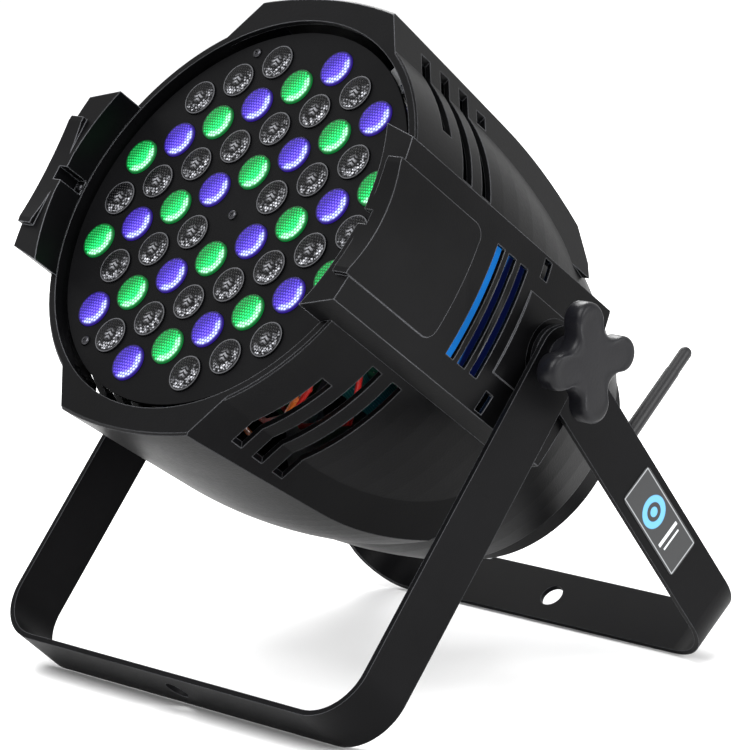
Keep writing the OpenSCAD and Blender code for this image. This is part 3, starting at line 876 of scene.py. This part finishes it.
class Copier:
    """A Geometry Nodes tree that sets one shape at many places."""

    def __init__(self) -> None:
        """Builds the tree once."""
        tree = bpy.data.node_groups.new("set_at_places", "GeometryNodeTree")
        self.sockets: dict[str, str] = {}
        for name, kind in (
            ("Places", "NodeSocketGeometry"),
            ("Shape", "NodeSocketObject"),
            ("Size", "NodeSocketFloat"),
            ("Finish", "NodeSocketMaterial"),
        ):
            item = tree.interface.new_socket(name=name, in_out="INPUT", socket_type=kind)
            self.sockets[name] = item.identifier
        tree.interface.new_socket(name="Pieces", in_out="OUTPUT", socket_type="NodeSocketGeometry")
        graph = Graph(tree)
        given = graph.add("NodeGroupInput")
        shape = graph.add(
            "GeometryNodeObjectInfo", {"Object": given.outputs["Shape"]}, transform_space="ORIGINAL"
        )
        turn = graph.add("GeometryNodeInputNamedAttribute", {"Name": "turn"}, data_type="FLOAT_VECTOR")
        euler = graph.add("FunctionNodeEulerToRotation", {0: turn.outputs["Attribute"]})
        size = graph.add("ShaderNodeCombineXYZ", {i: given.outputs["Size"] for i in range(3)})
        copies = graph.add(
            "GeometryNodeInstanceOnPoints",
            {
                "Points": given.outputs["Places"],
                "Instance": shape.outputs["Geometry"],
                "Rotation": euler.outputs[0],
                "Scale": size.outputs[0],
            },
        )
        solid = graph.add("GeometryNodeRealizeInstances", {"Geometry": copies.outputs[0]})
        dressed = graph.add(
            "GeometryNodeSetMaterial", {"Geometry": solid.outputs[0], "Material": given.outputs["Finish"]}
        )
        graph.add("NodeGroupOutput", {0: dressed.outputs[0]})
        self.tree = tree

    def set_out(
        self,
        name: str,
        shape: bpy.types.Object,
        places: Sequence[Vector],
        turn: Sequence[float],
        finish: bpy.types.Material,
    ) -> bpy.types.Object:
        """Sets a shape at places and returns one plain mesh.

        Args:
            name: The new piece's name.
            shape: The shape, in metres round its own origin.
            places: Where it goes, in the row frame.
            turn: Euler angles for every copy.
            finish: The material.

        Returns:
            The new piece.
        """
        points = bpy.data.meshes.new(name + "_places")
        points.from_pydata([tuple(p) for p in places], [], [])
        turns = points.attributes.new("turn", "FLOAT_VECTOR", "POINT")
        turns.data.foreach_set("vector", list(turn) * len(places))
        carrier = placed(name + "_carrier", points)
        modifier = carrier.modifiers.new("set_out", "NODES")
        modifier.node_group = self.tree
        modifier[self.sockets["Shape"]] = shape
        modifier[self.sockets["Size"]] = 1.0
        modifier[self.sockets["Finish"]] = finish
        bpy.context.view_layer.update()
        mesh = bpy.data.meshes.new_from_object(carrier.evaluated_get(bpy.context.evaluated_depsgraph_get()))
        mesh.name = name
        bpy.data.objects.remove(carrier)
        bpy.data.objects.remove(shape)
        piece = placed(name, mesh)
        LOG.info("%s: %d copies, %d faces", name, len(places), len(mesh.polygons))
        return piece


# ------------------------------------------------------------------ lens face


@dataclass
class LensField:
    """The 54 moulded lenses, in three groups."""

    box: Paintbox
    copier: Copier
    pitch: float = 26.0
    lattice_turn: float = 30.0
    radius: float = 10.2
    crown: float = 1.1
    base: float = -6.0
    bead_pitch: float = 1.9
    seat: Seat = field(default_factory=head_seat)

    def centres(self, glow: Glow) -> list[Vector]:
        """Lens middles of one group, in the seat's millimetres.

        Args:
            glow: The group.

        Returns:
            The places.
        """
        found: list[Vector] = []
        for row in range(-4, 5):
            for step in range(-4, 5):
                if abs(step + row) > 4 or (row == 0 and step == 0):
                    continue
                x = self.pitch * (step + row / 2)
                y = self.pitch * row * math.sin(math.pi / 3)
                if math.hypot(x, y) >= 3.8 * self.pitch:
                    continue
                if self._glow(step, row) is glow:
                    turn = Matrix.Rotation(math.radians(self.lattice_turn), 3, "Z")
                    found.append(turn @ Vector((x, y, 0.0)))
        return found

    def _glow(self, step: int, row: int) -> Glow:
        """Which group a lens belongs to: clear in every second row, the rest by turns."""
        if row % 2 == 0:
            return Glow.CLEAR
        shift = 1 if row in (3, -1) else 0
        odd = (math.floor(step + (row + 7) / 2) + shift) % 2
        return Glow.BLUE if odd else Glow.GREEN

    def _lens(self) -> bpy.types.Object:
        """One lens with its beads, in metres round its own middle.

        Returns:
            The lens, with the attribute that the finish reads.
        """
        r = self.radius
        ball = (r * r + self.crown**2) / (2 * self.crown)

        def height(x: float, y: float) -> float:
            """Height of the dome."""
            return math.sqrt(max(0.0, ball * ball - x * x - y * y)) - ball + self.crown - 0.9

        shape = bmesh.new()
        spot = shape.verts.layers.float_vector.new("lens_place")
        profile = [(r, self.base), (r, -1.3), (r * 0.985, -0.95)]
        profile += [(r * k, height(r * k, 0.0) - 0.25) for k in (0.94, 0.85, 0.7, 0.5, 0.25)]
        profile.append((0.0, -0.05))
        lathe(shape, profile, 36)
        beads: list[tuple[bmesh.types.BMVert, float]] = [(v, 0.0) for v in shape.verts]
        p = self.bead_pitch
        for row in range(-6, 7):
            for step in range(-7, 8):
                cx, cy = p * (step + (row % 2) / 2), p * row * math.sin(math.pi / 3)
                if math.hypot(cx, cy) > r - 1.15:
                    continue
                rings = []
                for share, rise in ((0.54, -0.3), (0.4, 0.02), (0.2, 0.17)):
                    rings.append(
                        [
                            shape.verts.new(
                                (
                                    cx + p * share * math.cos(math.tau * (i + 0.5) / 6),
                                    cy + p * share * math.sin(math.tau * (i + 0.5) / 6),
                                    height(cx, cy) + rise - 0.2,
                                )
                            )
                            for i in range(6)
                        ]
                    )
                top = shape.verts.new((cx, cy, height(cx, cy) + 0.02))
                beads += [(v, level) for ring, level in zip(rings, (0.0, 0.45, 0.85)) for v in ring]
                beads.append((top, 1.0))
                for low, high in zip(rings, rings[1:]):
                    for i in range(6):
                        j = (i + 1) % 6
                        shape.faces.new((low[i], low[j], high[j], high[i]))
                for i in range(6):
                    shape.faces.new((rings[-1][i], rings[-1][(i + 1) % 6], top))
        for vert, level in beads:
            vert[spot] = Vector((vert.co.x / r, vert.co.y / r, level))
        shape.transform(Matrix.Scale(MM, 4))
        mesh = bpy.data.meshes.new("lens")
        shape.to_mesh(mesh)
        shape.free()
        mesh.shade_smooth()
        lens = placed("lens", mesh)
        return lens

    def make(self) -> None:
        """Builds the three groups over their CAD nodes."""
        matrix = self.seat.matrix
        turn = matrix.to_euler()
        for glow in Glow:
            slot = "lens_" + glow.value
            node = "lenses_" + glow.value
            places = [matrix @ c for c in self.centres(glow)]
            finish = self.box.get(slot)
            piece = self.copier.set_out("optics_" + glow.value, self._lens(), places, turn, finish)
            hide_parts(node)
            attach(piece, "head")


# ------------------------------------------------------------------ screws


@dataclass
class CrossScrews:
    """The pan-head screws of the lens plate and the covers, with cross recesses."""

    box: Paintbox
    copier: Copier
    around: int = 32
    shoulder: float = 1.45
    head_height: float = 1.6
    slot_half: float = 0.42
    apart: float = 8.0
    seat: Seat = field(default_factory=head_seat)

    def _screw(self, head: float, length: float) -> bpy.types.Object:
        """One screw, in metres round the underside of its head.

        Args:
            head: Radius of the head.
            length: Length of the shaft.

        Returns:
            The screw.
        """
        shape = bmesh.new()
        profile = [(0.0, -length), (1.2, -length), (1.5, -length + 0.6), (1.5, 0.0), (head, 0.0)]
        profile += [(head, 0.5), (head * 0.97, 0.85), (head * 0.86, 1.2), (head * 0.68, self.shoulder)]
        lathe(shape, profile, self.around)
        outer = [v for v in shape.verts if abs(v.co.z - self.shoulder) < 1e-5]
        rims = []
        for height, grow in ((1.52, 1.0), (0.8, 0.72)):
            rim = []
            for i in range(self.around):
                turn = math.tau * i / self.around
                near = max(0.05, min(abs(math.sin(turn)), abs(math.cos(turn))))
                reach = min(head * 0.5, self.slot_half / near) * grow
                rim.append(shape.verts.new((reach * math.cos(turn), reach * math.sin(turn), height)))
            rims.append(rim)
        for low, high in ((outer, rims[0]), (rims[0], rims[1])):
            for i in range(self.around):
                j = (i + 1) % self.around
                shape.faces.new((low[i], low[j], high[j], high[i]))
        shape.faces.new(rims[1])
        bmesh.ops.recalc_face_normals(shape, faces=shape.faces)
        shape.transform(Matrix.Scale(MM, 4))
        mesh = bpy.data.meshes.new("screw")
        shape.to_mesh(mesh)
        shape.free()
        mesh.shade_smooth()
        mesh.set_sharp_from_angle(angle=math.radians(35))
        screw = placed("screw", mesh)
        return screw

    def _centres(self, node: str) -> list[Vector]:
        """Middle of each separate screw of a node, in the seat's millimetres."""
        back = self.seat.matrix.inverted()
        places = [back @ v.co for v in frame["nodes"][node].data.vertices]
        groups: list[list[Vector]] = []
        for place in places:
            for group in groups:
                if math.hypot(place.x - group[0].x, place.y - group[0].y) < self.apart:
                    group.append(place)
                    break
            else:
                groups.append([place])
        found = []
        for group in groups:
            xs, ys = [p.x for p in group], [p.y for p in group]
            top = max(p.z for p in group)
            found.append(Vector(((min(xs) + max(xs)) / 2, (min(ys) + max(ys)) / 2, top)))
        return found

    def make(self) -> None:
        """Builds the screws over their CAD nodes."""
        turn = self.seat.matrix.to_euler()
        for node, head, length in (("plate_screws", 2.8, 19.9), ("cover_screws", 2.6, 10.9)):
            under = Vector((0.0, 0.0, self.head_height))
            places = [self.seat.matrix @ (c - under) for c in self._centres(node)]
            screws = self._screw(head, length)
            piece = self.copier.set_out(node + "_cross", screws, places, turn, self.box.get("dark_steel"))
            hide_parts(node)
            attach(piece, "head")


# ------------------------------------------------------------------ knobs


@dataclass
class ClampKnob:
    """A four-lobed clamp knob with rounded lobes and a hub."""

    box: Paintbox
    side: str
    tip: float = 32.0
    neck: float = 17.3
    lobe: float = 9.4
    round_over: float = 3.2
    hollow_at: float = 29.2
    thickness: float = 12.0
    hub_radius: float = 12.4
    hub_flare: float = 14.6
    rest_turn: float = -39.8

    def _outline(self, steps: int = 12) -> list[Vector]:
        """The knob's outline: lobe arcs joined by hollow arcs."""
        hollow = self.hollow_at - self.neck
        centre = self.tip - self.lobe
        # from a lobe's middle to the middle of the hollow beside it
        both = 2 * centre * self.hollow_at * math.cos(math.radians(45))
        gap = math.sqrt(centre**2 + self.hollow_at**2 - both)
        points: list[Vector] = []
        for k in range(4):
            base = 45.0 + 90.0 * k
            mid = round_point(centre, base)
            cup = round_point(self.hollow_at, base + 45.0)
            lean = math.degrees(math.atan2(cup.y - mid.y, cup.x - mid.x))
            span = (lean - base + 180.0) % 360.0 - 180.0
            for i in range(-steps, steps + 1):
                points.append(mid + round_point(self.lobe, base + span * i / steps))
            after = round_point(centre, base + 90.0)
            first = math.degrees(math.atan2(mid.y - cup.y, mid.x - cup.x))
            last = math.degrees(math.atan2(after.y - cup.y, after.x - cup.x))
            sweep = (last - first + 540.0) % 360.0 - 180.0
            inner = gap - self.lobe if gap > self.lobe else hollow
            for i in range(1, steps):
                share = abs(2.0 * i / steps - 1.0)
                radius = hollow + (inner - hollow) * share**2
                points.append(cup + round_point(radius, first + sweep * i / steps))
        return points

    def _fill(self, shape: bmesh.types.BMesh, start: float, depth: float, hub: float, sign: float) -> None:
        """Builds the knob along x.

        Args:
            shape: The mesh to fill.
            start: Inner end of the hub.
            depth: Thickness of the lobed part.
            hub: Length of the hub.
            sign: Side of the light, 1 or -1.
        """
        outline = self._outline()
        r = self.round_over
        levels = [(0.0, 2.2), (0.6, 0.7), (1.6, 0.0)]
        for degrees in (0, 22, 45, 65, 82):
            bend = round_point(r, degrees)
            levels.append((depth - r + bend.y, r - bend.x))
        levels += [(depth - 0.35, r * 1.6), (depth - 0.25, 9.0)]
        rings = []
        for height, inset in levels:
            ring = []
            for p in outline:
                far = p.length
                q = p * ((far - inset * (0.75 + 0.25 * far / self.tip)) / far)
                ring.append(shape.verts.new((sign * (start + hub + height), q.x, q.y)))
            rings.append(ring)
        count = len(outline)
        for low, high in zip(rings, rings[1:]):
            for i in range(count):
                j = (i + 1) % count
                shape.faces.new((low[i], low[j], high[j], high[i]))
        shape.faces.new(rings[0])
        shape.faces.new(rings[-1])
        place = Matrix.Rotation(math.radians(90.0 * sign), 4, "Y")
        lip = start + hub + 0.4
        wide = self.hub_radius
        profile = [(0.0, start), (wide - 0.8, start), (wide, start + 0.8)]
        profile += [(wide, lip - 2.4), (self.hub_flare, lip), (0.0, lip)]
        lathe(shape, profile, 40, place)

    def make(self) -> bpy.types.Object:
        """Builds the knob over its CAD node.

        Returns:
            The knob.
        """
        node = "knob_" + self.side
        low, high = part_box(node)
        sign = 1.0 if self.side == "right" else -1.0
        start = min(abs(low.x), abs(high.x)) / MM
        end = max(abs(low.x), abs(high.x)) / MM
        centre = (low + high) / 2
        seat = Matrix.Translation((0.0, centre.y, centre.z)) @ Matrix.Scale(MM, 4)
        turn = Matrix.Rotation(math.radians(self.rest_turn), 4, "X")
        hub = end - start - self.thickness

        def fill(shape: bmesh.types.BMesh) -> None:
            """Fills the knob's mesh."""
            self._fill(shape, start, self.thickness, hub, sign)

        piece = new_piece(node + "_grip", fill, seat @ turn, 35.0)
        self.box.dress(piece, "knob_black")
        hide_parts(node)
        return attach(piece, node)


# ------------------------------------------------------------------ label


@dataclass
class YokeLabel:
    """The printed label on the rear yoke, with rounded corners."""

    box: Paintbox
    corner: float = 3.0
    width: float = 25.0
    length: float = 62.0

    def make(self) -> bpy.types.Object:
        """Builds the label on its CAD node.

        Returns:
            The label.
        """
        node = frame["nodes"]["yoke_label"]
        corners = [v.co.copy() for v in node.data.vertices]
        middle = sum(corners, Vector()) / len(corners)
        low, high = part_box("yoke_label")
        half_w, half_l = self.width / 2 * MM, self.length / 2 * MM
        yoke_down = self._yoke_down()
        yoke_across = Vector((0.0, -yoke_down.z, yoke_down.y))
        shape = bmesh.new()
        r = self.corner * MM
        outline = []
        for cx, cy, a0 in ((1, 1, 0), (-1, 1, 90), (-1, -1, 180), (1, -1, 270)):
            for i in range(7):
                a = math.radians(a0 + 15 * i)
                outline.append((cx * (half_w - r) + r * math.cos(a), cy * (half_l - r) + r * math.sin(a)))
        layers = []
        for x, inset in ((low.x, 0.0), (high.x - 0.00006, 0.0), (high.x, 0.00008)):
            ring = []
            for u, v in outline:
                k = 1.0 - inset / half_w
                at = middle + yoke_across * (u * k) + yoke_down * (v * k)
                ring.append(shape.verts.new((x, at.y, at.z)))
            layers.append(ring)
        for one, two in zip(layers, layers[1:]):
            for i in range(len(outline)):
                j = (i + 1) % len(outline)
                shape.faces.new((one[i], one[j], two[j], two[i]))
        shape.faces.new(layers[0])
        shape.faces.new(layers[-1])
        bmesh.ops.recalc_face_normals(shape, faces=shape.faces)
        uv = shape.loops.layers.uv.new("label_map")
        for face in shape.faces:
            for loop in face.loops:
                d = loop.vert.co - middle
                across, down = d.dot(yoke_across), d.dot(yoke_down)
                loop[uv].uv = (across / (2 * half_w) + 0.5, 0.5 - down / (2 * half_l))
        mesh = bpy.data.meshes.new("yoke_sticker")
        shape.to_mesh(mesh)
        shape.free()
        piece = placed("yoke_sticker", mesh)
        self.box.dress(piece, "label")
        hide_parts("yoke_label")
        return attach(piece, "rear_yoke")

    def _yoke_down(self) -> Vector:
        """The direction from the tilt axis to the rear yoke's bar."""
        hole = next(m for m in frame["record"]["mounts"] if m["name"] == "rear_clamp_hole")
        return Vector(hole["axis"]).normalized()


# ------------------------------------------------------------------ studio


@dataclass
class StudioSet:
    """The floor, the lights and the camera."""

    floor_tone: float = 0.94
    floor_half: float = 12.0
    world: float = 1.05
    key: float = 70.0
    aim: Point = (0.0, 0.0, 0.2)
    lamps: tuple[tuple[str, Point, float, float], ...] = (
        ("key", (0.3, -1.3, 2.2), 1.6, 1.0),
        ("side", (2.2, 0.6, 1.2), 1.2, 0.5),
        ("far", (-1.6, 1.2, 1.6), 1.2, 0.6),
    )
    lens_mm: float = 186.65
    sensor_mm: float = 36.0
    eye: Point = (1.4934, -1.4326, 0.5436)
    right: Point = (0.69257, 0.72133, -0.00505)
    up: Point = (-0.12826, 0.13004, 0.98319)
    back: Point = (0.70986, -0.68028, 0.18258)

    def _floor(self) -> None:
        """Lays the floor under the yokes."""
        mesh = bpy.data.meshes.new("floor")
        size = self.floor_half
        corners = [(-size, -size, 0), (size, -size, 0), (size, size, 0), (-size, size, 0)]
        mesh.from_pydata(corners, [], [(0, 1, 2, 3)])
        floor = placed("floor", mesh)
        floor.location.z = CAD_BOX[0][2] - 0.0002
        mesh.materials.append(Studio("floor", (self.floor_tone,) * 3).build())

    def _lamp(self, name: str, at: Point, size: float, power: float) -> None:
        """Hangs one soft light.

        Args:
            name: The light's name.
            at: Where it hangs.
            size: Its side.
            power: Its power in watts.
        """
        data = bpy.data.lights.new(name, "AREA")
        data.shape = "SQUARE"
        data.size = size
        data.energy = power
        lamp = placed(name, data)
        lamp.location = at
        lamp.rotation_euler = (Vector(self.aim) - Vector(at)).to_track_quat("-Z", "Y").to_euler()

    def _camera(self) -> None:
        """Sets the camera at the view's place and turn."""
        data = bpy.data.cameras.new("view")
        data.sensor_width = self.sensor_mm
        data.lens = self.lens_mm
        data.clip_end = 50.0
        camera = placed("view", data)
        turn = Matrix((self.right, self.up, self.back)).transposed().to_4x4()
        camera.matrix_world = Matrix.Translation(self.eye) @ turn
        bpy.context.scene.camera = camera

    def make(self) -> None:
        """Sets everything up."""
        self._floor()
        self._camera()
        for name, at, size, share in self.lamps:
            self._lamp(name, at, size, self.key * share)
        world = bpy.data.worlds.new("studio")
        world.use_nodes = True
        world.node_tree.nodes["Background"].inputs[0].default_value = (1.0, 1.0, 1.0, 1.0)
        world.node_tree.nodes["Background"].inputs[1].default_value = self.world
        bpy.context.scene.world = world
        bpy.context.scene.view_settings.view_transform = "Standard"


def main() -> None:
    """Builds the light's looks and its studio."""
    logging.basicConfig(level=logging.INFO, format="%(name)s %(message)s")
    box = Paintbox()
    copier = Copier()
    box.dress_frame()
    LensField(box, copier).make()
    CrossScrews(box, copier).make()
    for side in ("right", "left"):
        ClampKnob(box, side).make()
    YokeLabel(box).make()
    StudioSet().make()


if __name__ == "__main__":
    main()
